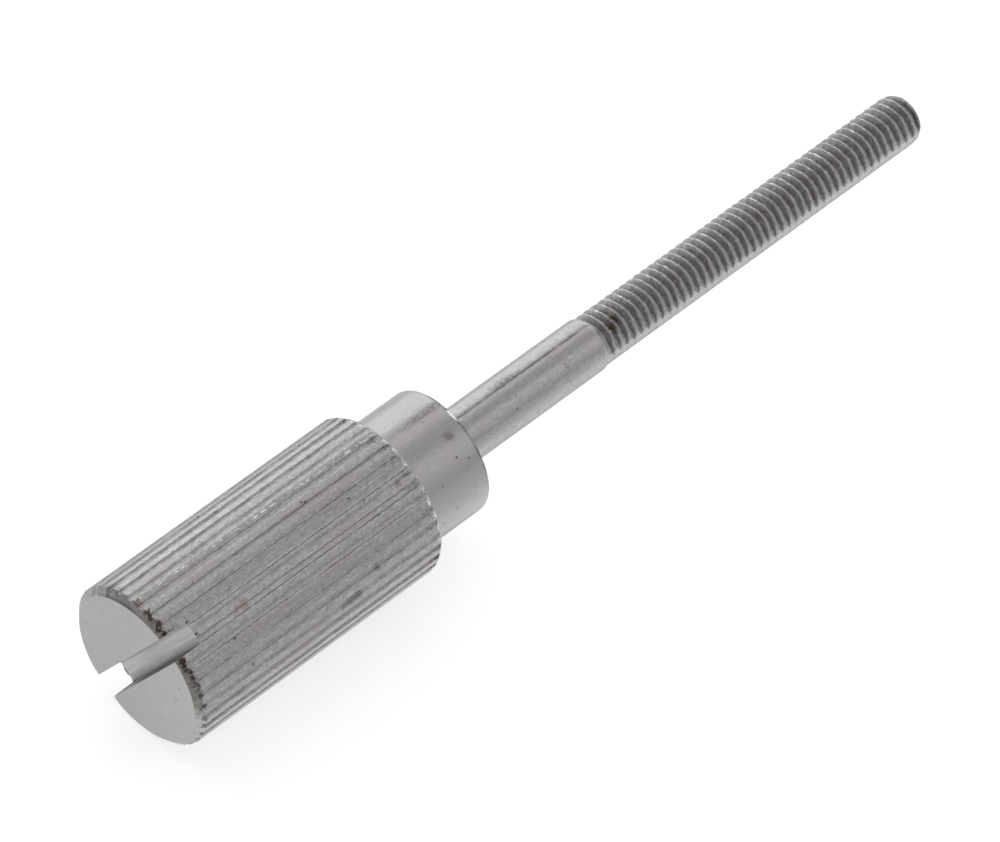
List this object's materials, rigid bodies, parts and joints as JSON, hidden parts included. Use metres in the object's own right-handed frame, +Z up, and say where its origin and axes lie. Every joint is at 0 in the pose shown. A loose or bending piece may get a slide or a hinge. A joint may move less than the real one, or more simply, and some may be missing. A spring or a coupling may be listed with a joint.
{
  "type": "thumb screw",
  "caption": "Slotted thumb screw turned in one piece: long straight-knurled head, plain shoulder, plain shank and a long fine-threaded end, for fastening a cover or clamp by hand.",
  "frame": {"origin": "on the screw's axis, where the shank leaves the shoulder's seat", "axes": "+X along the screw from the slotted head towards the tip of the thread, +Z up with the screw lying on its knurled head"},
  "size_m": [0.0742, 0.0126, 0.0126],
  "materials": {
    "plated_steel": "satin plated steel, worn, with a little rust at the knurl"
  },
  "bodies": {
    "root": {"thumb_screw": "plated_steel"}
  },
  "joints": []
}
